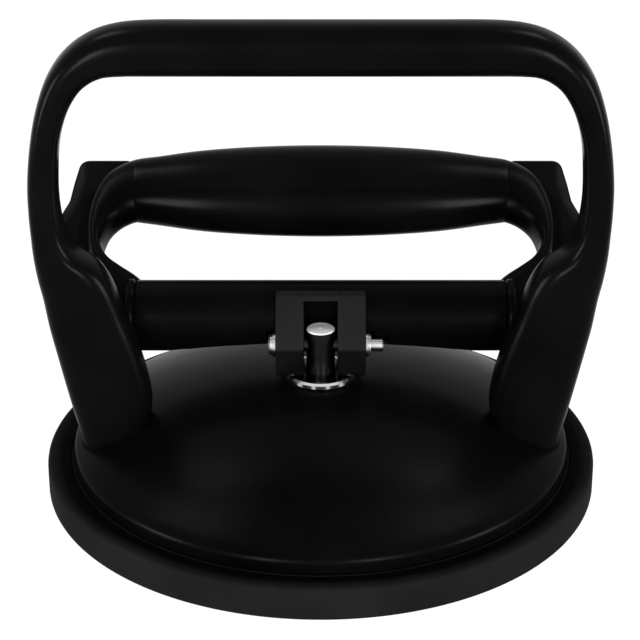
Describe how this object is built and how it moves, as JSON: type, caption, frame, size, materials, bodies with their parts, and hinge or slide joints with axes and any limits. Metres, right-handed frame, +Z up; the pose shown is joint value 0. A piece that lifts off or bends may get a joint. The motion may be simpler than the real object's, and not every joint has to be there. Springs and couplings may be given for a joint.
{
  "type": "floor tile suction lifter",
  "caption": "Single-cup floor tile suction lifter: black domed cup with a rubber pad, a carry handle above it and a cam lever behind it.",
  "frame": {"origin": "on the floor under the middle of the rubber pad", "axes": "+Z up along the pull stud, +X to the right along both handles, +Y back towards the lever's grip"},
  "size_m": [0.2016, 0.2, 0.1774],
  "materials": {
    "black_enamel": "satin",
    "black_handle": "satin",
    "black_rubber": "matte",
    "chrome_plate": "polished",
    "turned_steel": "machined",
    "spring_steel": "drawn"
  },
  "bodies": {
    "base": {"rubber_pad": "black_rubber", "dome_housing": "black_enamel", "guide_bush": "chrome_plate", "carry_handle": "black_handle", "return_spring": "spring_steel", "handle_screw_inner_left": "turned_steel", "handle_screw_inner_right": "turned_steel", "handle_screw_outer_left": "turned_steel", "handle_screw_outer_right": "turned_steel", "screw_washer_inner_left": "turned_steel", "screw_washer_inner_right": "turned_steel", "screw_washer_outer_left": "turned_steel", "screw_washer_outer_right": "turned_steel"},
    "stud": {"pull_stud": "turned_steel", "insert_plate": "turned_steel", "stud_nut": "turned_steel", "spring_seat": "turned_steel", "cross_pin": "turned_steel", "pin_washer_left": "turned_steel", "pin_washer_right": "turned_steel", "retaining_clip": "spring_steel"},
    "lever": {"lever_frame": "black_enamel", "lever_grip": "black_handle"}
  },
  "joints": [
    {"name": "stud_lift", "type": "slide", "parent": "base", "child": "stud", "axis": [0, 0, 1], "range_m": [0, 0.005], "stiffness_N_per_m": 300, "springref_m": -0.02, "deforming": ["rubber_pad", "return_spring"]},
    {"name": "lever_turn", "type": "hinge", "parent": "stud", "child": "lever", "pos_m": [0, 0, 0.0527], "axis": [-1, 0, 0], "range_deg": [0, 36]}
  ],
  "couplings": [
    {"joint": "stud_lift", "follows": "lever_turn", "m_per_rad": 0.00795}
  ]
}
